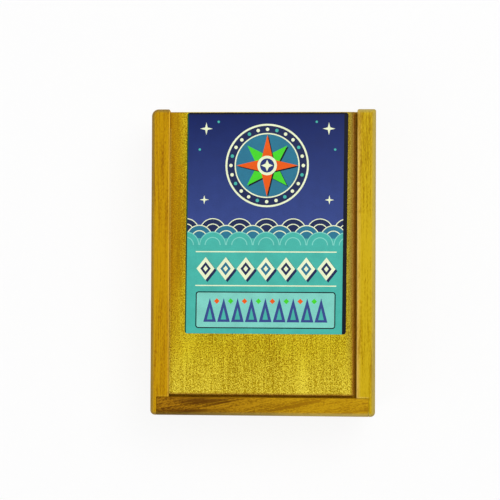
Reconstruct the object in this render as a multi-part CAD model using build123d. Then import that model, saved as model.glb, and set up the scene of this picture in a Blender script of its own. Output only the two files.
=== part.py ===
from build123d import *
import math
import os

# A small wooden box for a marble game, lying on its bottom with its sliding lid on top.
# X runs across the box, Y along it towards the end where the lid slides out, Z up.
# The origin is the middle of the box's footprint, on the surface it stands on.
# All lengths are in millimetres and all angles in degrees.

# What the box holds: a layer of marbles, whose places set the size of the tray
marble_diameter = 16.0
marble_columns = 4
marble_rows = 6
marble_side_room = 3.1      # free width at each marble's place
marble_end_room = 2.3       # free length at each marble's place
marble_wander = 0.8         # how far a marble lies from the middle of its place
wander_turn = 137.5         # from one marble's wander to the next one's
shooter_diameter = 25.0
shooter_room = 1.6          # least free width and length round the shooter
leaflet_side_clearance = 3.6
leaflet_end_clearance = 4.0
leaf_thickness = 0.22
leaflet_fold_gap = 0.12     # between the leaflet's two leaves
resting_gap = 0.1           # under what lies loose in the box
headroom = 0.7              # from the tallest marble to the lid

# Walls, all four of one stock
wall_thickness = 7.6
corner_lip = 2.6            # side wall wood that runs on past the end walls' ends
outer_round = 1.9           # outer corners and outer top edges
left_corner_round = 2.9     # outer corners at the open end, sanded by hand
right_corner_round = 0.9
foot_round = 0.8            # outer edges at the bottom
left_inner_round = 0.1      # top edges next to the lid
right_inner_round = 0.7
end_inner_round = 0.5       # the end walls' inner top edges
rail_end_round = 0.9        # inner corners of the rails' open ends
seam_ease = 0.2             # broken edges where two walls meet
glue_gap = 0.05             # glue line between two walls
open_end_setback = 0.6      # the lower end wall's face, behind the side walls' ends

# Base panel, held in a groove all round
base_thickness = 3.0
base_recess = 2.0           # the panel's underside, above the surface the box stands on
base_groove_depth = 3.2
base_side_clearance = 0.4   # from the panel's edge to the groove's floor
base_face_clearance = 0.1   # above and below the panel, in its groove

# Sliding lid: a raised field with thinner edges that run in grooves
rail_height = 3.4           # wood above the lid groove
tongue_thickness = 2.8
slide_clearance = 0.2       # above and below the tongue, in its groove
lid_groove_depth = 3.8
lid_side_play = 1.2         # from the tongues' edges to the grooves' floors, both sides together
lid_rest_gap = 0.05         # what is left of that play on the side where the lid lies
field_side_gap = 1.0        # from the field to the rails, both sides together
field_end_gap = 0.7         # from the field to the closed end wall
tongue_end_gap = 0.4        # from the end tongue to its groove's floor
end_groove_depth = 3.0      # lid groove in the closed end wall
field_recess = 0.9          # the field's face, below the rails' tops
lid_setback = 1.2           # the lid's open end, behind the rails' ends
field_left_round = 0.1
field_right_round = 0.8
field_closed_end_round = 0.8
field_open_end_round = 0.3

# Printed label on the field, and the bare wood that it leaves on the field's flat face
label_thickness = 0.2
label_left_margin = 6.65
label_right_margin = 2.25
label_closed_end_margin = 24.3
label_open_end_margin = 0.0
label_lean = 0.45           # its long sides, clockwise from above: it isn't cut quite square
label_corner_round = 1.0

past = 1.0                  # how far a cut runs on past the wood it leaves
same_place = 0.01           # two places closer than this are one

# Heights, worked out from the bottom up
base_bottom = base_recess
base_top = base_bottom + base_thickness
leaflet_bottom = base_top + resting_gap
leaflet_top = leaflet_bottom + 2 * leaf_thickness + leaflet_fold_gap
marble_floor = leaflet_top + resting_gap
lid_bottom = marble_floor + max(shooter_diameter, marble_diameter) + headroom
tongue_top = lid_bottom + tongue_thickness
groove_bottom = lid_bottom - slide_clearance
groove_top = tongue_top + slide_clearance
box_height = groove_top + rail_height
field_top = box_height - field_recess
base_groove_heights = (base_bottom - base_face_clearance, base_top + base_face_clearance)
lid_groove_heights = (groove_bottom, groove_top)

# Plan sizes, worked out from the tray outwards: the box is 91.6 wide and 125.0 long
place_width = marble_diameter + marble_side_room
place_length = marble_diameter + marble_end_room
tray_half_width = marble_columns * place_width / 2
tray_half_length = marble_rows * place_length / 2
half_width = tray_half_width + wall_thickness
half_length = tray_half_length + wall_thickness
rebate_depth = wall_thickness - corner_lip
end_wall_half_width = tray_half_width + rebate_depth - glue_gap

# The lid lies against its groove on the -X side
lid_half_width = tray_half_width + lid_groove_depth - lid_side_play / 2
lid_x = lid_rest_gap - lid_side_play / 2
field_half_width = tray_half_width - field_side_gap / 2
field_x = lid_rest_gap - field_side_gap / 2
lid_closed_end = tongue_end_gap - tray_half_length - end_groove_depth
field_closed_end = field_end_gap - tray_half_length
lid_open_end = half_length - lid_setback

# The field's flat face
field_sides = (field_x - field_half_width, field_x + field_half_width)
flat_sides = (field_sides[0] + field_left_round, field_sides[1] - field_right_round)
flat_ends = (field_closed_end + field_closed_end_round, lid_open_end - field_open_end_round)


def block(x_range, y_range, z_range):
    """A box between two places along each axis, given in either order."""
    spans = [(min(span), max(span)) for span in (x_range, y_range, z_range)]
    size = [high - low for low, high in spans]
    centre = [(high + low) / 2 for low, high in spans]
    return Pos(*centre) * Box(*size)


def edges_at(shape, x=None, y=None, z=None):
    """The edges that lie whole in each of the given planes."""

    def lies_in_planes(edge):
        low, high = edge.bounding_box().min, edge.bounding_box().max
        spans = ((x, low.X, high.X), (y, low.Y, high.Y), (z, low.Z, high.Z))
        return all(
            place is None or max(abs(start - place), abs(end - place)) < same_place
            for place, start, end in spans
        )

    return ShapeList(edge for edge in shape.edges() if lies_in_planes(edge))


def side_wall(side):
    """The wall at -X (side -1) or +X (side +1), with grooves for the lid and the base and
    a rebate at each end. The lid groove is open at +Y, where the lid comes out."""
    outer = side * half_width
    inner = side * tray_half_width
    wall = block((outer, inner), (-half_length, half_length), (0, box_height))

    on_left = side < 0
    corner_round = left_corner_round if on_left else right_corner_round
    inner_round = left_inner_round if on_left else right_inner_round
    wall = fillet(edges_at(wall, x=outer, y=half_length), corner_round)
    rounded = edges_at(wall, x=outer, z=box_height)
    rounded += edges_at(wall, x=outer, y=-half_length)
    for end in (-half_length, half_length):
        rounded += edges_at(wall, y=end, z=box_height)
    wall = fillet(rounded, outer_round)
    inner_edges = edges_at(wall, x=inner)
    wall = fillet(inner_edges - edges_at(wall, x=inner, z=0), inner_round)
    bottom_edges = edges_at(wall, z=0)
    wall = fillet(bottom_edges - edges_at(wall, x=inner, z=0), foot_round)

    def cut(depth, y_range, z_range):
        """What a cutter takes out from the inner face, to that depth."""
        return block((inner - side * past, inner + side * depth), y_range, z_range)

    whole_length = (-half_length - past, half_length + past)
    closed_end = (-half_length - past, -tray_half_length)
    open_end = (tray_half_length, half_length + past)
    wall -= cut(rebate_depth, closed_end, (-past, box_height + past))
    wall -= cut(rebate_depth, open_end, (-past, groove_bottom))
    wall -= cut(lid_groove_depth, whole_length, lid_groove_heights)
    wall -= cut(base_groove_depth, whole_length, base_groove_heights)
    return wall - rail_end_waste(side)


def rail_end_waste(side):
    """The wood outside the round of a rail's inner corner, at the box's open end."""
    inner = side * tray_half_width
    middle = (inner + side * rail_end_round, half_length - rail_end_round)
    heights = (groove_bottom, box_height + past)
    corner = block((inner - side * past, middle[0]), (middle[1], half_length + past), heights)
    post = Pos(*middle, sum(heights) / 2) * Cylinder(rail_end_round, heights[1] - heights[0])
    return corner - post


def end_wall(end, top, top_round, setback=0.0):
    """An end wall at -Y (end -1) or +Y (end +1), with the groove for the base."""
    outer = end * (half_length - setback)
    inner = end * (tray_half_length + glue_gap)
    sides = (-end_wall_half_width, end_wall_half_width)
    wall = block(sides, (outer, inner), (0, top))
    wall = fillet(edges_at(wall, y=outer, z=top), top_round)
    wall = fillet(edges_at(wall, y=inner, z=top), end_inner_round)
    wall = fillet(edges_at(wall, y=outer, z=0), foot_round)
    seams = edges_at(wall, x=sides[0]) + edges_at(wall, x=sides[1])
    wall = chamfer(seams, seam_ease)
    return wall - end_groove(end, base_groove_depth, base_groove_heights)


def end_groove(end, depth, z_range):
    """What a cutter takes out along an end wall, to that depth from the tray."""
    y_range = (end * (tray_half_length - past), end * (tray_half_length + depth))
    return block((-half_width, half_width), y_range, z_range)


def closed_end_wall():
    """The full-height end wall, with a groove for the lid's end tongue."""
    wall = end_wall(-1, box_height, outer_round)
    return wall - end_groove(-1, end_groove_depth, lid_groove_heights)


def open_end_wall():
    """The lower end wall, which the lid slides over."""
    return end_wall(1, groove_bottom, end_inner_round, open_end_setback)


def base_panel():
    """The thin floor of the box, in the grooves of all four walls."""
    reach = base_groove_depth - base_side_clearance
    half_x = tray_half_width + reach
    half_y = tray_half_length + reach
    return block((-half_x, half_x), (-half_y, half_y), (base_bottom, base_top))


def sliding_lid():
    """A board with a raised field, and tongues on its long edges and its closed end."""
    tongue = block(
        (lid_x - lid_half_width, lid_x + lid_half_width),
        (lid_closed_end, lid_open_end),
        (lid_bottom, tongue_top),
    )
    field = block(
        field_sides,
        (field_closed_end, lid_open_end),
        (lid_bottom, field_top),
    )
    for edge_x, edge_round in zip(field_sides, (field_left_round, field_right_round)):
        field = fillet(edges_at(field, x=edge_x, z=field_top), edge_round)
    ends = ((field_closed_end, field_closed_end_round), (lid_open_end, field_open_end_round))
    for end, edge_round in ends:
        field = fillet(edges_at(field, y=end) - edges_at(field, z=lid_bottom), edge_round)
    lid = tongue + field
    return lid.clean()


def lid_label():
    """The printed paper label, stuck on the field next to the lid's open end."""
    left, right = flat_sides[0] + label_left_margin, flat_sides[1] - label_right_margin
    low, high = flat_ends[0] + label_closed_end_margin, flat_ends[1] - label_open_end_margin
    lean = (high - low) / 2 * math.tan(math.radians(label_lean))
    low_corners = [(left - lean, low), (right - lean, low)]
    high_corners = [(right + lean, high), (left + lean, high)]
    outline = Polygon(*low_corners, *high_corners, align=None)
    outline = fillet(outline.vertices(), label_corner_round)
    return Pos(0, 0, field_top) * extrude(outline, label_thickness)


def rules_leaflet():
    """A sheet of paper folded once, lying on the base under the marbles. Its fold is at -X."""
    half_x = tray_half_width - leaflet_side_clearance
    half_y = tray_half_length - leaflet_end_clearance
    leaflet = block((-half_x, half_x), (-half_y, half_y), (leaflet_bottom, leaflet_top))
    slit_bottom = leaflet_bottom + leaf_thickness
    slit = block(
        (leaf_thickness - half_x, half_x + past),
        (-half_y - past, half_y + past),
        (slit_bottom, slit_bottom + leaflet_fold_gap),
    )
    return leaflet - slit


def marble_places():
    """Where the small marbles lie, one to a place in rows and columns over the tray, each a
    little off the middle of its place, and where the shooter lies, in the corner at -X, -Y."""
    shooter_columns = math.ceil((shooter_diameter + shooter_room) / place_width)
    shooter_rows = math.ceil((shooter_diameter + shooter_room) / place_length)
    marbles = []
    for row in range(marble_rows):
        for column in range(marble_columns):
            if row < shooter_rows and column < shooter_columns:
                continue
            heading = math.radians(wander_turn) * (len(marbles) + 1)
            middle_x = (column + 0.5) * place_width - tray_half_width
            middle_y = (row + 0.5) * place_length - tray_half_length
            x = middle_x + marble_wander * math.cos(heading)
            y = middle_y + marble_wander * math.sin(heading)
            marbles.append((x, y))
    shooter_x = shooter_columns * place_width / 2 - tray_half_width
    shooter_y = shooter_rows * place_length / 2 - tray_half_length
    return marbles, (shooter_x, shooter_y)


def marble(diameter, x, y):
    """A glass ball that lies on the leaflet with its middle over (x, y)."""
    return Pos(x, y, marble_floor + diameter / 2) * Sphere(diameter / 2)


marble_spots, shooter_spot = marble_places()

parts = {
    "left_side_wall": side_wall(-1),
    "right_side_wall": side_wall(1),
    "closed_end_wall": closed_end_wall(),
    "open_end_wall": open_end_wall(),
    "base_panel": base_panel(),
    "sliding_lid": sliding_lid(),
    "lid_label": lid_label(),
    "rules_leaflet": rules_leaflet(),
    "shooter_marble": marble(shooter_diameter, *shooter_spot),
}
for number, spot in enumerate(marble_spots, 1):
    parts[f"marble_{number:02d}"] = marble(marble_diameter, *spot)

os.makedirs("parts", exist_ok=True)
for name, shape in parts.items():
    export_step(shape, f"parts/{name}.step")
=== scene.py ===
"""Dresses the marble box: varnished wood, a printed label on the lid, a folded leaflet and
glass marbles in the tray. Blender's lengths are metres. MM turns millimetres into metres."""

import math
import random
from collections import namedtuple

import bmesh
import bpy
from mathutils import Euler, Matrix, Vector
from mathutils.geometry import delaunay_2d_cdt


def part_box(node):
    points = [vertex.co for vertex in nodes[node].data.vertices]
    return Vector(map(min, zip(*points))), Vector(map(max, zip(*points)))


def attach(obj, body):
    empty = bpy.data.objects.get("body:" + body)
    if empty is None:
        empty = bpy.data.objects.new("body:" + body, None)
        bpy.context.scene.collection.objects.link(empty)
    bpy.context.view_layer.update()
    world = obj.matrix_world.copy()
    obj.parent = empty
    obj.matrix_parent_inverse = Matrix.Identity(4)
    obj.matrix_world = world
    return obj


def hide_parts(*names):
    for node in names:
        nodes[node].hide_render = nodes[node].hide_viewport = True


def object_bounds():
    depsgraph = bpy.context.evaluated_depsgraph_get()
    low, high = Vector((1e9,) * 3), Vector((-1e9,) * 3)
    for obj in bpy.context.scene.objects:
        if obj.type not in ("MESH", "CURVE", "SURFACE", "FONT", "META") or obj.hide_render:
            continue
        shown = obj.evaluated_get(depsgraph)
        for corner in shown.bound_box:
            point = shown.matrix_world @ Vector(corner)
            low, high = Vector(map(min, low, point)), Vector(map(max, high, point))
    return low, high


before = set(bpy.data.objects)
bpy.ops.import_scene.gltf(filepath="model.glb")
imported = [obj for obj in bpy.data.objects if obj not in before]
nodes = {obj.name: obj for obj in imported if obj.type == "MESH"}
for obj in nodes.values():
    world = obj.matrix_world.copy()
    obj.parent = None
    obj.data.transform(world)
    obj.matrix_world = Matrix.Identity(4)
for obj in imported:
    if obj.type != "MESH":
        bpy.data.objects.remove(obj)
cad_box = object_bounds()

MM = 0.001

# Places on the box, in millimetres: the walls' inner faces, the lid's face and the rails' tops
LEFT_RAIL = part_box("left_side_wall")[1].x / MM
RIGHT_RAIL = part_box("right_side_wall")[0].x / MM
CLOSED_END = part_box("closed_end_wall")[1].y / MM
LID_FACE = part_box("sliding_lid")[1].z / MM
TOP = cad_box[1].z / MM

# How far in from the box's outer faces something starts, and how far in it is in full
# ROUNDED is where the outer rounds start, which carry painted shade and sheen.
ROUNDED = (2.3, 2.0)        # the outer rounds
GLUED = (8.1, 7.7)          # the corners at the box's ends, whose seams are glued and don't wear


def srgb(red, green, blue):
    """A colour for a shader or a print, from the usual values of 0 to 255."""

    def linear(value):
        value /= 255
        return value / 12.92 if value <= 0.04045 else ((value + 0.055) / 1.055) ** 2.4

    return (linear(red), linear(green), linear(blue), 1.0)


# Tints of the woods

# Each set's rounded tint is painted shade and sheen for the rounded outer edges; rubbed is bare wood
# on worn edges.
Tints = namedtuple("Tints", "dark middle light rubbed rounded")


def tint_set(*colours):
    return Tints(*(srgb(*colour) for colour in colours))


def retinted(base, dark, middle, light):
    """The base's tints with another dark, middle and light, and the same edges."""
    return base._replace(dark=srgb(*dark), middle=srgb(*middle), light=srgb(*light))


AMBER_GLOSS = (1.0, 0.7, 0.12, 1.0)     # of the varnish, as a shader's colour
# Painted shade and sheen on the rounded outer edges: the olive tint darkens them, the pale one
# lightens them.
OLIVE_ROUND_SHADE = (152, 126, 52)
PALE_ROUND_SHEEN = (188, 170, 90)

ORANGE_PINE = tint_set((148, 96, 0), (177, 126, 0), (198, 150, 4), (208, 166, 60), OLIVE_ROUND_SHADE)
# A painted highlight along the left wall's inner edge, brighter than the wall.
AMBER_PINE_HIGHLIGHT = retinted(ORANGE_PINE, (192, 136, 16), (220, 164, 30), (236, 184, 50))
YELLOW_PINE = tint_set((156, 116, 0), (187, 151, 4), (206, 173, 24), (236, 200, 128), PALE_ROUND_SHEEN)
# A painted highlight along the right wall's inner edge.
PEACH_PINE_HIGHLIGHT = retinted(YELLOW_PINE, (176, 130, 40), (204, 162, 54), (222, 184, 84))
BROWN_PINE = tint_set((86, 44, 0), (124, 78, 0), (168, 116, 12), (176, 144, 70), (104, 84, 20))
GOLD_PINE = tint_set((162, 114, 4), (182, 137, 6), (198, 153, 16), (200, 170, 90), PALE_ROUND_SHEEN)
PLYWOOD = tint_set((176, 140, 88), (206, 174, 122), (222, 196, 150), (226, 204, 164), (200, 170, 120))

YELLOW_BOARD = tint_set((136, 102, 0), (186, 156, 0), (229, 208, 44), (232, 208, 96), (170, 140, 30))
BRIGHT_BOARD = retinted(YELLOW_BOARD, (146, 115, 0), (196, 166, 6), (243, 223, 76))
GREEN_BOARD = retinted(YELLOW_BOARD, (138, 126, 0), (174, 162, 0), (206, 198, 40))
ORANGE_BOARD = retinted(YELLOW_BOARD, (158, 114, 0), (178, 134, 0), (193, 151, 10))
# The amber board is painted shade: the left rail's shadow on the lid, and the lid's sides down in the
# gaps.
AMBER_SHADE_BOARD = retinted(YELLOW_BOARD, (151, 101, 0), (169, 119, 0), (184, 134, 4))
# The olive and brown boards are painted shade by the gaps at the lid's right edge and closed end.
OLIVE_SHADE_BOARD = retinted(YELLOW_BOARD, (136, 111, 30), (154, 132, 45), (171, 151, 63))
BROWN_SHADE_BOARD = retinted(YELLOW_BOARD, (106, 52, 0), (127, 68, 4), (148, 86, 12))


# Materials


class Surface:
    """A material with one Principled shader. Its methods add the other nodes. Each input is a
    plain value or another node's output."""

    def __init__(self, name, **settings):
        self.material = bpy.data.materials.new(name)
        self.material.use_nodes = True
        self.tree = self.material.node_tree
        self.shader = self.tree.nodes["Principled BSDF"]
        for key, value in settings.items():
            self.put(self.shader, key.replace("_", " "), value)
        self.place = self.node("TexCoord").outputs["Object"]

    def put(self, node, key, value):
        if isinstance(value, bpy.types.NodeSocket):
            self.tree.links.new(value, node.inputs[key])
        else:
            node.inputs[key].default_value = value

    def node(self, kind, inputs=None, **settings):
        node = self.tree.nodes.new("ShaderNode" + kind)
        for key, value in settings.items():
            setattr(node, key, value)
        for key, value in (inputs or {}).items():
            self.put(node, key, value)
        return node

    def math(self, operation, *values):
        return self.node("Math", dict(enumerate(values)), operation=operation).outputs[0]

    def vector(self, operation, *values):
        return self.node("VectorMath", dict(enumerate(values)), operation=operation).outputs[0]

    def length(self, vector):
        return self.node("VectorMath", {0: vector}, operation="LENGTH").outputs["Value"]

    def noise(self, size, detail=2.0, place=None, output="Fac", seed=0.0):
        """Noise whose patches are about size millimetres along X, Y and Z."""
        stretch = {
            "Vector": self.place if place is None else place,
            "Location": (seed, seed * 0.7, seed * 1.3),
            "Scale": [1 / (length * MM) for length in size],
        }
        stretched = self.node("Mapping", stretch).outputs[0]
        inputs = {"Vector": stretched, "Scale": 1.0, "Detail": detail}
        return self.node("TexNoise", inputs).outputs[output]

    def span(self, value, low, high, to_low=0.0, to_high=1.0):
        """The value carried from low..high to to_low..to_high, and held at their ends."""
        inputs = {"Value": value, "From Min": low, "From Max": high}
        inputs.update({"To Min": to_low, "To Max": to_high})
        return self.node("MapRange", inputs).outputs[0]

    def weigh(self, start, *shares):
        """start, plus each noise's distance from its middle times its weight."""
        total = start
        for value, weight in shares:
            total = self.math("MULTIPLY_ADD", self.math("SUBTRACT", value, 0.5), weight, total)
        return total

    def mix(self, factor, first, second, blend="MIX"):
        inputs = {0: factor, 6: first, 7: second}
        return self.node("Mix", inputs, data_type="RGBA", blend_type=blend).outputs[2]

    def ramp(self, value, *stops):
        ramp = self.node("ValToRGB", {"Fac": value})
        elements = ramp.color_ramp.elements
        while len(elements) < len(stops):
            elements.new(0.5)
        for element, (place, colour) in zip(elements, stops):
            element.position = place
            element.color = colour
        return ramp.outputs[0]

    def arrises(self, reach):
        """1 on sharp outer edges, falling to 0 within about reach millimetres of them."""
        inputs = {"Distance": reach * MM}
        hidden = self.node("AmbientOcclusion", inputs, inside=True, only_local=True, samples=8)
        return self.span(hidden.outputs["AO"], 0.95, 0.6)

    def rounds(self):
        """Where shade and sheen are painted: 1 on the box's rounded outer top edges, 0 on its flat
        faces, inner edges and seams.
        """
        x, y, z = self.facing()
        sideways = self.math("MAXIMUM", self.math("ABSOLUTE", x), self.math("ABSOLUTE", y))
        slope = self.math("MULTIPLY", sideways, z)
        outer = self.math("MAXIMUM", self.beyond("X", *ROUNDED), self.beyond("Y", *ROUNDED))
        return self.math("MULTIPLY", self.span(slope, 0.1, 0.48), outer)

    def facing(self):
        """How far the surface faces along X, Y and Z."""
        return self.node("SeparateXYZ", {0: self.node("TexCoord").outputs["Normal"]}).outputs

    def turned(self, angle):
        """The place, turned about Z by an angle in degrees."""
        inputs = {"Vector": self.place, "Rotation": (0, 0, math.radians(angle))}
        return self.node("Mapping", inputs).outputs[0]

    def beyond(self, axis, start, full):
        """0 further in than start millimetres from the box's two faces along the axis, 1 nearer
        to them than full."""
        number = "XYZ".index(axis)
        place = self.node("SeparateXYZ", {0: self.place}).outputs[number]
        face = cad_box[1][number]
        return self.span(self.math("ABSOLUTE", place), face - start * MM, face - full * MM)

    def bump(self, height, depth):
        inputs = {"Height": height, "Strength": 1.0, "Distance": depth * MM}
        self.put(self.shader, "Normal", self.node("Bump", inputs).outputs[0])


# A wash brings other tints from start to full, in millimetres along an axis, and its edge
# wanders. A streak is dark, about size millimetres round its centre.
Wash = namedtuple("Wash", "axis start full wander tints")
Streak = namedtuple("Streak", "centre size")


def wood(name, tints, seed, turn=0.0, end_turn=None, pith=(25.0, -55.0), ring=2.6, rings=0.15,
         fibres=0.8, fibre_length=14, speckle=1.1, grit=(0.24, 0.9), clouds=0.5, coat=0.05,
         rubbed=0.3, washes=(), streaks=(), patches=None):
    """Stained and varnished wood, with lengths in millimetres and angles in degrees. turn brings
    the grain onto Y, and end_turn does so on the faces across Y. pith is where the middle of the
    log runs along the grain, in X and Z, and ring is the width of its rings. rings, fibres,
    speckle and clouds are how strongly each shows. grit is a speck's width and length. rubbed is
    how bare the sharp edges are, and patches are the tints of scattered spots."""
    s = Surface(name, Coat_Weight=coat, Coat_Roughness=0.25, Specular_IOR_Level=0.25,
                Specular_Tint=AMBER_GLOSS)
    place = grain_place(s, turn, end_turn)
    bend = 3 * MM
    swirl = s.noise((16, 70, 16), place=place, output="Color", seed=seed)
    bent = s.vector("MULTIPLY_ADD", swirl, (bend, bend, bend), place)
    late_wood = late_wood_share(s, bent, pith, ring)
    fibre = s.noise((0.5, fibre_length, 0.5), 4.0, bent, seed=seed)
    dash = s.noise((grit[0], grit[1], grit[0]), 2.0, place, seed=seed)
    cloud = s.noise((11, 46, 11), 2.0, place, seed=seed)
    pore = s.span(s.noise((0.2, 2.4, 0.2), 1.0, place, seed=seed), 0.6, 0.74)

    tone = s.weigh(0.5, (fibre, fibres), (dash, speckle), (cloud, clouds), (late_wood, -rings))
    colour = tinted(s, tone, tints)
    if patches:
        spots = s.noise((6, 9, 6), 2.0, place, seed=seed + 5)
        colour = s.mix(s.span(spots, 0.48, 0.66, 0.0, 0.6), colour, tinted(s, tone, patches))
    colour, edge = washed(s, colour, tints, tone, cloud, fibre, washes)
    for streak in streaks:
        colour = s.mix(streak_share(s, fibre, streak), colour, tints.dark)
    colour = s.mix(s.math("MULTIPLY", pore, 0.35), colour, tints.dark)
    # Painted shade and sheen on the rounded outer edges.
    colour = s.mix(s.math("MULTIPLY", s.rounds(), 0.7), colour, edge)
    s.put(s.shader, "Base Color", s.mix(worn_share(s, dash, rubbed), colour, tints.rubbed))

    s.put(s.shader, "Roughness", s.weigh(0.5, (fibre, 0.3), (cloud, 0.2)))
    s.bump(s.weigh(0.5, (fibre, 0.8), (dash, 0.5), (pore, -0.8), (late_wood, -0.2)), 0.05)
    return s.material


def grain_place(s, turn, end_turn):
    """The place, turned so that the grain runs along Y."""
    turned = s.turned(turn)
    if end_turn is None:
        return turned
    across = s.span(s.math("ABSOLUTE", s.facing()[1]), 0.5, 0.8)
    inputs = {0: across, 4: turned, 5: s.turned(end_turn)}
    return s.node("Mix", inputs, data_type="VECTOR").outputs[1]


def late_wood_share(s, place, pith, ring):
    """Rises slowly across each growth ring to its dark late wood, and falls at once."""
    from_pith = s.vector("SUBTRACT", place, (pith[0] * MM, 0, pith[1] * MM))
    radius = s.length(s.vector("MULTIPLY", from_pith, (1, 0, 1)))
    part_of_ring = s.math("FRACT", s.math("DIVIDE", radius, ring * MM))
    white, grey, black = (1, 1, 1, 1), (0.35, 0.35, 0.35, 1), (0, 0, 0, 1)
    return s.ramp(part_of_ring, (0.0, black), (0.6, grey), (0.9, white), (1.0, black))


def tinted(s, tone, tints):
    return s.ramp(tone, (0.28, tints.dark), (0.5, tints.middle), (0.72, tints.light))


def washed(s, colour, tints, tone, cloud, fibre, washes):
    """The colour and the rounded edges' painted shade and sheen, with the washes over them in turn."""
    # edge is the rounded outer edges' painted shade and sheen.
    edge = tints.rounded
    axes = s.node("SeparateXYZ", {0: s.place}).outputs
    for wash in washes:
        wander = wash.wander * MM
        place = s.weigh(axes["XYZ".index(wash.axis)], (cloud, wander), (fibre, wander / 3))
        share = s.span(place, wash.start * MM, wash.full * MM)
        colour = s.mix(share, colour, tinted(s, tone, wash.tints))
        if wash.tints.rounded != tints.rounded:
            edge = s.mix(share, edge, wash.tints.rounded)
    return colour, edge


def streak_share(s, fibre, streak):
    """1 in the middle of a streak, with frayed ends."""
    away = s.vector("SUBTRACT", s.place, Vector(streak.centre) * MM)
    distance = s.length(s.vector("DIVIDE", away, Vector(streak.size) * MM))
    return s.span(s.weigh(distance, (fibre, 1.6)), 1.15, 0.35, 0.0, 0.85)


def worn_share(s, dash, rubbed):
    """How bare the sharp edges are rubbed, unevenly. The glued corners aren't."""
    worn = s.math("MULTIPLY", s.arrises(0.8), s.span(dash, 0.35, 0.6, rubbed * 0.4, rubbed))
    return s.math("MULTIPLY", worn, s.math("SUBTRACT", 1.0, s.beyond("Y", *GLUED)))


def printed_paper(name, gloss):
    """Paper printed in the colours of the mesh's ink attribute."""
    s = Surface(name, Coat_Weight=gloss, Coat_Roughness=0.3, Specular_IOR_Level=0.1)
    ink = s.node("Attribute", attribute_name="ink").outputs["Color"]
    mottle = s.noise((5, 5, 5), 3.0)
    grit = s.noise((0.35, 0.35, 0.35), 2.0)
    shade = s.weigh(1.0, (mottle, 0.3), (grit, 0.35))
    s.put(s.shader, "Base Color", s.mix(1.0, ink, shade, "MULTIPLY"))
    s.put(s.shader, "Roughness", s.weigh(0.5, (mottle, 0.3), (grit, 0.2)))
    s.bump(s.weigh(0.5, (grit, 1.0), (mottle, 0.3)), 0.015)
    return s.material


def clear_glass():
    """Handled glass, with faint scuffs."""
    s = Surface("clear_glass", Transmission_Weight=1.0, IOR=1.5, Base_Color=(0.93, 0.98, 0.96, 1))
    scuff = s.noise((1.8, 1.8, 1.8), 3.0)
    s.put(s.shader, "Roughness", s.span(scuff, 0.5, 0.75, 0.02, 0.045))
    s.bump(s.noise((4, 4, 4), 1.0), 0.005)
    return s.material


def vane_glass(name, colour):
    """The opaque coloured glass of a marble's vanes, streaked along the marble's axis."""
    s = Surface(name, Specular_IOR_Level=0.3)
    unturned = s.node("Attribute", attribute_name="unturned").outputs["Vector"]
    streaks = s.noise((0.7, 0.7, 7), 2.0, unturned)
    darker = [channel * 0.68 for channel in colour[:3]] + [1]
    s.put(s.shader, "Base Color", s.ramp(streaks, (0.32, darker), (0.62, colour)))
    s.put(s.shader, "Roughness", s.span(streaks, 0.3, 0.7, 0.2, 0.4))
    return s.material


def studio_white():
    """The floor and backdrop: pale, and near white where it is looked at."""
    s = Surface("studio_white", Base_Color=(0.93, 0.93, 0.93, 1), Roughness=0.9)
    path = s.node("LightPath").outputs
    seen = s.math("MAXIMUM", path["Is Camera Ray"], path["Is Glossy Ray"])
    seen = s.math("MAXIMUM", seen, path["Is Transmission Ray"])
    glow = s.node("Emission", {"Color": (1, 1, 1, 1), "Strength": 1.0}).outputs[0]
    share = s.math("MULTIPLY", seen, 0.88)
    both = s.node("MixShader", {0: share, 1: s.shader.outputs[0], 2: glow}).outputs[0]
    s.put(s.tree.nodes["Material Output"], "Surface", both)
    return s.material


# The wooden pieces


def dress(name, material):
    """Gives a CAD node its material."""
    for slot in nodes[name].material_slots:
        slot.material = material


def side_walls():
    """An orange wall on the left and a yellow one on the right, paler at their inner edges with a
    painted highlight.
    """
    grain = {"rings": 0.36, "fibres": 1.3, "fibre_length": 24, "speckle": 1.0, "grit": (0.24, 1.4)}
    # Painted highlights along the walls' inner top edges.
    left_edge = Wash("X", LEFT_RAIL - 0.6, LEFT_RAIL - 0.1, 0.2, AMBER_PINE_HIGHLIGHT)
    right_edge = Wash("X", RIGHT_RAIL + 1.8, RIGHT_RAIL + 0.2, 0.6, PEACH_PINE_HIGHLIGHT)
    dress("left_side_wall", wood(
        "left_wall_wood", ORANGE_PINE, seed=1.0, pith=(-43, -60), ring=3.1, clouds=0.6,
        rubbed=0.7, washes=[left_edge], **grain))
    dress("right_side_wall", wood(
        "right_wall_wood", YELLOW_PINE, seed=2.0, pith=(44, -70), ring=3.4, clouds=0.8,
        rubbed=0.9, washes=[right_edge], **grain))


def end_walls():
    """A brown closed end that turns gold to the right, with two dark streaks in its top, and a
    gold open end."""
    gold = Wash("X", LEFT_RAIL + 4.2, RIGHT_RAIL - 14.2, 8, GOLD_PINE)
    middle = Streak((LEFT_RAIL + 14.2, CLOSED_END - 1.55, TOP - 0.86), (14, 1.8, 8))
    outer = Streak((LEFT_RAIL + 7.2, CLOSED_END - 5.65, TOP - 0.86), (20, 1.2, 5))
    dress("closed_end_wall", wood(
        "closed_end_wood", BROWN_PINE, seed=3.0, turn=79.0, end_turn=90.0, rings=0.3, fibres=1.3,
        speckle=1.7, clouds=0.6, washes=[gold], streaks=[middle, outer]))
    dress("open_end_wall", wood("open_end_wood", GOLD_PINE, seed=4.0, turn=90.0, rings=0.32))


def base_panel():
    dress("base_panel", wood("base_plywood", PLYWOOD, seed=5.0, ring=5.0, coat=0.0))


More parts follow.
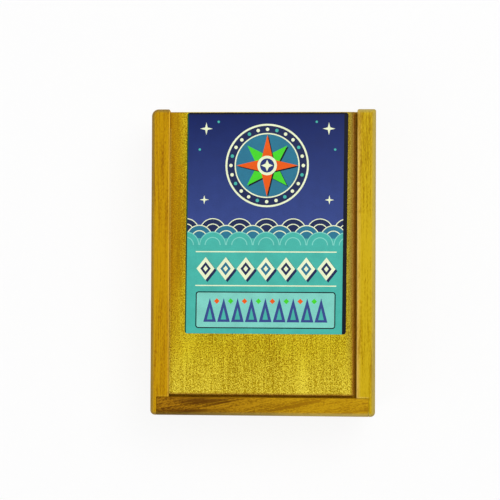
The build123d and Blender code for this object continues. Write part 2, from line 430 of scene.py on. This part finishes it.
def sliding_lid():
    """A speckled yellow board, orange at its left edge and brighter towards the closed end. It carries
    painted shade: amber by the left rail, where the rail's shadow falls; olive and then brown at its
    right edge and brown at its end there, by the gaps; and amber on its sides below the field's face,
    down in the gaps."""
    washes = [
        Wash("X", LEFT_RAIL + 7.2, LEFT_RAIL + 3.7, 3, ORANGE_BOARD),
        # Painted shadow of the left rail on the lid.
        Wash("X", LEFT_RAIL + 3.2, LEFT_RAIL + 0.4, 1, AMBER_SHADE_BOARD),
        # Painted shade towards the right gap.
        Wash("X", RIGHT_RAIL - 4.7, RIGHT_RAIL - 2.7, 2, OLIVE_SHADE_BOARD),
        Wash("Y", CLOSED_END + 48.95, CLOSED_END + 4.95, 6, YELLOW_BOARD),
        Wash("Y", CLOSED_END + 20.95, CLOSED_END + 2.95, 10, BRIGHT_BOARD),
        # Painted shade beside the right gap.
        Wash("X", RIGHT_RAIL - 2.7, RIGHT_RAIL - 1.2, 0.6, BROWN_SHADE_BOARD),
        # Painted shade at the end, by the closed wall's gap.
        Wash("Y", CLOSED_END + 2.05, CLOSED_END + 0.85, 0.5, BROWN_SHADE_BOARD),
        # Painted shade on the lid's sides, down in the gaps.
        Wash("Z", LID_FACE - 0.26, LID_FACE - 1.06, 0, AMBER_SHADE_BOARD),
    ]
    dress("sliding_lid", wood(
        "lid_wood", YELLOW_BOARD, seed=6.0, fibres=0.6, fibre_length=26, speckle=2.5,
        grit=(0.24, 0.5), clouds=0.6, rings=0.05, rubbed=0.5, washes=washes, patches=GREEN_BOARD))


# Prints: flat shapes in millimetres from the middle of a sheet, painted one over another

INK = {
    "black": srgb(10, 12, 26),
    "navy": srgb(6, 26, 88),
    # The paler navy is a painted sheen lower down the label.
    "navy_sheen": srgb(56, 74, 140),
    "deep": srgb(30, 42, 84),
    "sea": srgb(44, 118, 146),
    "teal": srgb(72, 182, 168),
    "pale_teal": srgb(128, 210, 196),
    "green_line": srgb(24, 78, 44),
    "cream": srgb(238, 246, 206),
    "orange": srgb(236, 92, 16),
    "green": srgb(72, 214, 44),
    "paper": srgb(236, 232, 216),
}


def rectangle(left, low, right, high):
    return [(left, low), (right, low), (right, high), (left, high)]


def rounded_rectangle(left, low, right, high, radius):
    steps = 6
    points = []
    corners = ((right, high, 0), (left, high, 90), (left, low, 180), (right, low, 270))
    for x, y, start in corners:
        middle_x = x + (radius if x == left else -radius)
        middle_y = y + (radius if y == low else -radius)
        for step in range(steps + 1):
            angle = math.radians(start + 90 * step / steps)
            points.append((middle_x + radius * math.cos(angle), middle_y + radius * math.sin(angle)))
    return points


def disc(x, y, radius, steps=40, sweep=360.0):
    """A disc, or with a sweep of 180 a dome."""
    count = steps if sweep >= 360 else steps + 1
    angles = [math.radians(sweep * step / steps) for step in range(count)]
    return [(x + radius * math.cos(a), y + radius * math.sin(a)) for a in angles]


def star(x, y, outer, inner, points, turn=90.0):
    corners = []
    for step in range(points * 2):
        radius = inner if step % 2 else outer
        angle = math.radians(turn + 180 * step / points)
        corners.append((x + radius * math.cos(angle), y + radius * math.sin(angle)))
    return corners


def lozenge(x, y, width, height):
    return [(x + width / 2, y), (x, y + height / 2), (x - width / 2, y), (x, y - height / 2)]


def scallops(top, radius, half_width):
    """Three rows of overlapping domes, each half a dome across from the one above it."""
    rows = (("deep", "cream"), ("sea", "cream"), ("teal", "pale_teal"))
    count = math.ceil(half_width / radius) + 1
    layers = []
    for row, (fill, line) in enumerate(rows):
        y = top - row * radius / 2
        for number in range(-count, count + 1):
            x = (2 * number + row % 2) * radius
            for share, ink in ((1.0, line), (0.93, fill), (0.6, line), (0.53, fill)):
                layers.append((disc(x, y, radius * share, 20, sweep=180), ink))
    return layers


def medallion(x, y, radius):
    """A ring of dots round an eight-pointed star. Its sizes are shares of its radius."""
    rings = ((1.0, "cream"), (0.955, "deep"), (0.78, "cream"), (0.75, "sea"))
    layers = [(disc(x, y, radius * share, 64), ink) for share, ink in rings]
    dots = 24
    reach, dot_radius = radius * 0.868, radius * 0.042
    for number in range(dots):
        angle = math.radians(360 / dots * number)
        spot = disc(x + reach * math.cos(angle), y + reach * math.sin(angle), dot_radius, 12)
        layers.append((spot, ("cream", "cream", "teal")[number % 3]))
    shadow = 0.5
    for turn, outer, inner, ink in ((45, 0.68, 0.24, "green"), (90, 0.74, 0.2, "orange")):
        size = (radius * outer, radius * inner, 4, turn)
        layers.append((star(x + shadow, y - shadow, *size), "black"))
        layers.append((star(x, y, *size), ink))
    for share, ink in ((0.235, "cream"), (0.17, "navy")):
        layers.append((disc(x, y, radius * share, 32), ink))
    layers.append((star(x, y, radius * 0.14, radius * 0.06, 4), "cream"))
    return layers


def lozenge_row(y, count, pitch, width, height):
    """A row of cream lozenges with dark cast shadows, between two thin lines."""
    reach, half_line, shadow = pitch * count / 2, 0.22, 0.8
    line_away = height / 2 + 2.2
    layers = []
    for line_y in (y - line_away, y + line_away):
        layers.append((rectangle(-reach, line_y - half_line, reach, line_y + half_line), "cream"))
    for number in range(count):
        x = (number - (count - 1) / 2) * pitch
        layers.append((lozenge(x + shadow, y - shadow, width, height), "deep"))
        middle_ink = ("deep", "sea")[number % 2]
        for share, ink in ((1.0, "cream"), (0.58, middle_ink), (0.26, "cream")):
            layers.append((lozenge(x, y, width * share, height * share), ink))
    return layers


def zigzag_panel(y, width, height):
    """A pale panel with a dark edge, a row of dark triangles and small squares between them."""
    half_x, half_y = width / 2, height / 2
    edge, side_margin, margin = 0.45, 3.0, 2.6
    layers = []
    for inset, corner, ink in ((0.0, 1.2, "black"), (edge, 0.8, "pale_teal")):
        x, half = half_x - inset, half_y - inset
        layers.append((rounded_rectangle(-x, y - half, x, y + half, corner), ink))
    count, square_size, square_drop = 9, 2.3, 1.3
    pitch = (width - 2 * side_margin) / count
    low, high = y - half_y + margin, y + half_y - margin
    for number in range(count):
        x = (number - (count - 1) / 2) * pitch
        for share, foot, tip, ink in ((0.46, low, high, "navy"), (0.2, low + 1, high - 4, "teal")):
            tooth = [(x - pitch * share, foot), (x + pitch * share, foot), (x, tip)]
            layers.append((tooth, ink))
        if number < count - 1:
            square = lozenge(x + pitch / 2, high - square_drop, square_size, square_size)
            layers.append((square, ("orange", "green")[number % 2]))
    return layers


def label_print(width, height):
    """A medallion among stars over scallops, and a row of lozenges over a zigzag panel."""
    half_x, half_y = width / 2, height / 2
    shore = -3.5                # where the navy meets the teal
    layers = [
        (rectangle(-half_x, -half_y, half_x, half_y), "navy"),
        (rectangle(-half_x, -half_y, half_x, shore), "teal"),
    ]
    layers += scallops(shore, half_x / 6, half_x)
    layers += medallion(0, 23.5, 17)
    dot_radius = 0.5
    for side in (-1, 1):
        for x, y, outer, inner in ((25, 38.5, 2.6, 0.7), (25.5, 9.5, 1.9, 0.5)):
            layers.append((star(side * x, y, outer, inner, 4), "cream"))
        for x, y in ((27.6, 30), (20, 41.3)):
            layers.append((disc(side * x, y, dot_radius, 12), "teal"))
    layers += lozenge_row(-18.6, count=7, pitch=8.2, width=7.4, height=9.4)
    layers += zigzag_panel(-35.4, width=57, height=15)
    top_edge, right_edge, left_edge = 0.7, 1.6, 0.5
    layers += [
        (rectangle(-half_x, half_y - top_edge, half_x, half_y), "black"),
        (rectangle(half_x - right_edge, -half_y, half_x, half_y), "black"),
        (rectangle(-half_x, -half_y, left_edge - half_x, half_y), "green_line"),
    ]
    return layers


def leaflet_print(width, height):
    """A plain plan of a ring game: the ring, its cross of small marbles and the throwing line."""
    half_x, half_y = width / 2, height / 2
    layers = [(rectangle(-half_x, -half_y, half_x, half_y), "paper")]
    for inset, ink in ((2, "navy"), (2.5, "paper")):
        layers.append((rectangle(inset - half_x, inset - half_y, half_x - inset, half_y - inset), ink))
    ring_y, pitch = 12, 5
    for radius, ink in ((27, "navy"), (26.3, "paper")):
        layers.append((disc(0, ring_y, radius, 72), ink))
    for step in range(-3, 4):
        layers.append((disc(step * pitch, ring_y, 1.5, 20), "orange"))
        layers.append((disc(0, ring_y + step * pitch, 1.5, 20), "sea"))
    dash_foot, dash_pitch, dash_length, half_dash = -34.0, 2.6, 1.5, 0.35
    for number in range(6):
        low = dash_foot + dash_pitch * number
        layers.append((rectangle(-half_dash, low, half_dash, low + dash_length), "navy"))
    layers.append((disc(0, -38, 2.6, 28), "green"))
    layers.append((rectangle(-24, -44, 24, -43.4), "navy"))
    return layers


# The navy's paling down the label is a painted sheen.
NAVY_SHEEN = (46.0, 50.0)    # height on the label where navy starts to pale, and over how long


def ink_at(ink, y):
    """The ink's colour at a height on the sheet: navy pales down the label, a painted sheen."""
    if ink != "navy":
        return INK[ink]
    start, length = NAVY_SHEEN
    share = min(max((start - y) / length, 0), 1)
    return [a + (b - a) * share for a, b in zip(INK["navy"], INK["navy_sheen"])]


def ink_mesh():
    bm = bmesh.new()
    bm.loops.layers.float_color.new("ink")
    return bm


def paint(bm, faces, ink):
    """Gives the faces an ink, which at a corner depends on the corner's height on the sheet."""
    inks = bm.loops.layers.float_color["ink"]
    for face in faces:
        for loop in face.loops:
            loop[inks] = ink_at(ink, loop.vert.co.y / MM)


def printed_sheet(bm, outline, layers, thickness):
    """Adds a sheet to bm whose top face, at height 0, is cut along the layers' outlines. Each
    triangle takes the ink of the last layer over it."""
    points, shapes = [], []
    for shape in [outline] + [shape for shape, _ in layers]:
        shapes.append(list(range(len(points), len(points) + len(shape))))
        points += [Vector(point) for point in shape]
    made = delaunay_2d_cdt(points, [], shapes, 0, 1e-4, True)
    spots, triangles, owners = made[0], made[2], made[5]

    corners = [bm.verts.new((spot.x * MM, spot.y * MM, 0.0)) for spot in spots]
    sheet = []
    for triangle, owner in zip(triangles, owners):
        if 0 not in owner:
            continue
        face = bm.faces.new([corners[index] for index in triangle])
        paint(bm, [face], layers[max(owner) - 1][1] if max(owner) else "paper")
        sheet.append(face)
    add_underside(bm, sheet, thickness)
    bmesh.ops.delete(bm, geom=[v for v in corners if not v.link_faces], context="VERTS")


def add_underside(bm, sheet, thickness):
    """Closes the sheet with edges and an underside of bare paper. It goes round the rim in
    order, so that every run makes the same mesh."""
    after = {}
    for face in sheet:
        for loop in face.loops:
            if len(loop.edge.link_faces) == 1:
                after[loop.vert] = loop.link_loop_next.vert
    rim = [next(iter(after))]
    while after[rim[-1]] != rim[0]:
        rim.append(after[rim[-1]])
    low = [bm.verts.new((vert.co.x, vert.co.y, -thickness)) for vert in rim]
    faces = [bm.faces.new(low[::-1])]
    count = len(rim)
    for k in range(count):
        j = (k + 1) % count
        faces.append(bm.faces.new((rim[j], rim[k], low[k], low[j])))
    paint(bm, faces, "paper")


# Pieces made here


def new_piece(name, bm, material):
    mesh = bpy.data.meshes.new(name)
    bmesh.ops.recalc_face_normals(bm, faces=bm.faces)
    bm.to_mesh(mesh)
    bm.free()
    mesh.materials.append(material)
    return placed(name, mesh)


def placed(name, mesh):
    piece = bpy.data.objects.new(name, mesh)
    bpy.context.scene.collection.objects.link(piece)
    return piece


LABEL_LEAN = 0.45           # degrees that its long sides lean, clockwise from above
LABEL_CORNER = 1.0          # millimetres, the round of its corners


def label():
    """The printed label, whose long sides lean a little."""
    low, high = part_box("lid_label")
    lean = math.tan(math.radians(LABEL_LEAN))
    height = (high.y - low.y) / MM
    width = (high.x - low.x) / MM - height * lean
    bm = ink_mesh()
    outline = rounded_rectangle(-width / 2, -height / 2, width / 2, height / 2, LABEL_CORNER)
    printed_sheet(bm, outline, label_print(width, height), high.z - low.z)
    for vert in bm.verts:
        vert.co.x += vert.co.y * lean
    piece = new_piece("label", bm, printed_paper("label_print", gloss=0.08))
    middle = (low + high) / 2
    piece.location = (middle.x, middle.y, high.z)
    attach(piece, "lid")
    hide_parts("lid_label")


LEAF = 0.22                 # millimetres, one leaf of the leaflet
SHORT_LEAF = 0.6            # how much the lower leaf falls short of the upper


def leaflet():
    """The folded sheet: a printed upper leaf, the fold at -X and the lower leaf."""
    low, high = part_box("rules_leaflet")
    size = (high - low) / MM
    fold = size.z / 2
    left, right, half_y = fold - size.x / 2, size.x / 2, size.y / 2
    bm = ink_mesh()
    upper_leaf = rectangle(left, -half_y, right, half_y)
    printed_sheet(bm, upper_leaf, leaflet_print(size.x, size.y), LEAF * MM)
    add_lower_leaf(bm, left, right - SHORT_LEAF, half_y, fold)
    piece = new_piece("leaflet", bm, printed_paper("leaflet_paper", gloss=0.0))
    piece.location = ((low.x + high.x) / 2, (low.y + high.y) / 2, high.z)
    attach(piece, "leaflet")
    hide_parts("rules_leaflet")


def add_lower_leaf(bm, left, right, half_y, fold):
    """Adds the rounded fold, of radius fold about x = left, and the leaf under the upper one."""
    steps = 10
    reach = fold - LEAF
    outer, inner = [], []
    for step in range(steps + 1):
        angle = math.radians(90 + 180 * step / steps)
        outer.append((left + fold * math.cos(angle), fold * (math.sin(angle) - 1)))
        inner.append((left + reach * math.cos(angle), reach * math.sin(angle) - fold))
    section = outer + [(right, -2 * fold), (right, LEAF - 2 * fold)] + inner[::-1]
    ends = []
    for y in (-half_y, half_y):
        ends.append([bm.verts.new((x * MM, y * MM, z * MM)) for x, z in section])
    near, far = ends
    faces = [bm.faces.new(near), bm.faces.new(far[::-1])]
    count = len(section)
    for k in range(count):
        after = (k + 1) % count
        faces.append(bm.faces.new((near[k], far[k], far[after], near[after])))
    paint(bm, faces, "paper")


# A vane's sizes, as shares of the marble's radius
VANE_HEIGHT = 0.76          # from the marble's middle to the vane's tip
VANE_WIDTH = 0.36           # half its width, where it is widest
VANE_THICKNESS = 0.07       # half its thickness there


def add_vane(bm, radius, heading, twist, slot):
    """A twisted blade of coloured glass from the marble's axis outwards, pointed at its ends."""
    sections, around = 22, 12
    past_axis = 0.92            # under 1, it reaches a little past the axis
    height = VANE_HEIGHT * radius
    rings = []
    for section in range(1, sections):
        share = 2 * section / sections - 1
        bulge = radius * math.sqrt(1 - share * share)
        angle = heading + twist * share
        ring = []
        for step in range(around):
            turn = 2 * math.pi * step / around
            out = VANE_WIDTH * bulge * (past_axis + math.cos(turn))
            side = VANE_THICKNESS * bulge * math.sin(turn)
            x = out * math.cos(angle) - side * math.sin(angle)
            y = out * math.sin(angle) + side * math.cos(angle)
            ring.append(bm.verts.new((x, y, height * share)))
        rings.append(ring)
    faces = []
    for ring, after in zip(rings, rings[1:]):
        for k in range(around):
            j = (k + 1) % around
            faces.append(bm.faces.new((ring[k], ring[j], after[j], after[k])))
    for ring, side in ((rings[0], -1), (rings[-1], 1)):
        tip = bm.verts.new((0, 0, height * side))
        for k in range(around):
            faces.append(bm.faces.new((ring[k], ring[(k + 1) % around], tip)))
    for face in faces:
        face.material_index = slot
        face.smooth = True


def marble_mesh(name, radius, vanes, twist, materials):
    """A glass ball with vanes of two colours in turn. It keeps its points' places from before
    it is turned, for the streaks. materials are the clear glass and the two colours."""
    bm = bmesh.new()
    bmesh.ops.create_icosphere(bm, subdivisions=5, radius=radius)
    for face in bm.faces:
        face.smooth = True
    for number in range(vanes):
        add_vane(bm, radius, 2 * math.pi * number / vanes, twist, 1 + number % 2)
    mesh = bpy.data.meshes.new(name)
    bmesh.ops.recalc_face_normals(bm, faces=bm.faces)
    bm.to_mesh(mesh)
    bm.free()
    for material in materials:
        mesh.materials.append(material)
    unturned = mesh.attributes.new("unturned", "FLOAT_VECTOR", "POINT")
    for vert in mesh.vertices:
        unturned.data[vert.index].vector = vert.co
    return mesh


def marbles():
    """A glass marble for each CAD ball, each turned its own way."""
    hues = {
        "orange": (232, 96, 20), "green": (40, 160, 60), "blue": (36, 84, 190),
        "yellow": (240, 196, 40), "white": (238, 238, 232), "red": (196, 30, 36),
        "turquoise": (40, 170, 176),
    }
    glass = clear_glass()
    vane = {hue: vane_glass("vane_" + hue, srgb(*value)) for hue, value in hues.items()}
    pairs = (("orange", "white"), ("green", "yellow"), ("blue", "white"), ("yellow", "red"),
             ("turquoise", "white"), ("green", "orange"))
    names = sorted(name for name in nodes if name.startswith("marble_"))
    radius = radius_of(names[0])
    kinds = []
    for number, (first, second) in enumerate(pairs):
        materials = (glass, vane[first], vane[second])
        kind = marble_mesh(f"cats_eye_{number}", radius, vanes=4, twist=0.9, materials=materials)
        kinds.append(kind)
    draw = random.Random(11)
    for number, name in enumerate(names):
        place_marble(name, name, kinds[-number % len(kinds)], draw)
    radius = radius_of("shooter_marble")
    materials = (glass, vane["blue"], vane["orange"])
    big = marble_mesh("shooter_eye", radius, vanes=6, twist=1.4, materials=materials)
    place_marble("shooter_marble", "shooter", big, draw)


def radius_of(node):
    low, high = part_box(node)
    return (high.z - low.z) / 2


def place_marble(node, body, mesh, draw):
    low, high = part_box(node)
    mesh = mesh.copy()
    turn = Euler([draw.uniform(0, 2 * math.pi) for _ in range(3)])
    mesh.transform(turn.to_matrix().to_4x4())
    piece = placed("glass_" + node, mesh)
    piece.location = (low + high) / 2
    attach(piece, body)
    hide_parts(node)


# The studio, in metres


def backdrop():
    """A round floor that curves up into a wall."""
    floor = -0.05 * MM
    bend, reach, height = 0.5, 2.2, 1.6
    profile = [(0.3, floor), (1.0, floor)]
    steps = 12
    for step in range(steps + 1):
        angle = math.radians(90 * step / steps)
        rise = floor + bend * (1 - math.cos(angle))
        profile.append((reach - bend + bend * math.sin(angle), rise))
    profile.append((reach, height))
    bm = bmesh.new()
    sides = 96
    rows = []
    for radius, z in profile:
        angles = [2 * math.pi * step / sides for step in range(sides)]
        rows.append([bm.verts.new((radius * math.cos(a), radius * math.sin(a), z)) for a in angles])
    bm.faces.new(rows[0])
    for row, after in zip(rows, rows[1:]):
        for k in range(sides):
            j = (k + 1) % sides
            bm.faces.new((row[k], row[j], after[j], after[k]))
    for face in bm.faces:
        face.smooth = True
    new_piece("backdrop", bm, studio_white())


def area_lamp(name, place, size, power):
    """A round lamp that faces the box."""
    lamp = bpy.data.lights.new(name, "AREA")
    lamp.shape = "DISK"
    lamp.size = size
    lamp.energy = power
    holder = placed(name, lamp)
    holder.location = place
    holder.rotation_euler = (-Vector(place)).to_track_quat("-Z", "Y").to_euler()


def light():
    area_lamp("key", (0.30, 0.30, 0.85), size=0.60, power=4.4)
    area_lamp("fill", (-0.50, -0.35, 0.70), size=0.70, power=1.9)
    world = bpy.data.worlds.new("studio")
    world.use_nodes = True
    background = world.node_tree.nodes["Background"].inputs
    background["Color"].default_value = (1, 1, 1, 1)
    background["Strength"].default_value = 0.42
    bpy.context.scene.world = world


# The camera's lens and place, in millimetres, and its turn, in degrees
LENS = 108.55
CAMERA_PLACE = (30.31, -3.43, 650)
CAMERA_TURN = (0.802, 3.315, 0.276)


def camera():
    """Nearly straight down, a little to the right of the box's middle."""
    data = bpy.data.cameras.new("camera")
    data.lens = LENS
    data.sensor_width = 36.0
    data.clip_start = 0.01
    holder = placed("camera", data)
    holder.location = [value * MM for value in CAMERA_PLACE]
    holder.rotation_euler = Euler([math.radians(angle) for angle in CAMERA_TURN])
    bpy.context.scene.camera = holder


side_walls()
end_walls()
base_panel()
sliding_lid()
label()
leaflet()
marbles()

backdrop()
light()
camera()
bpy.context.scene.view_settings.view_transform = "Standard"
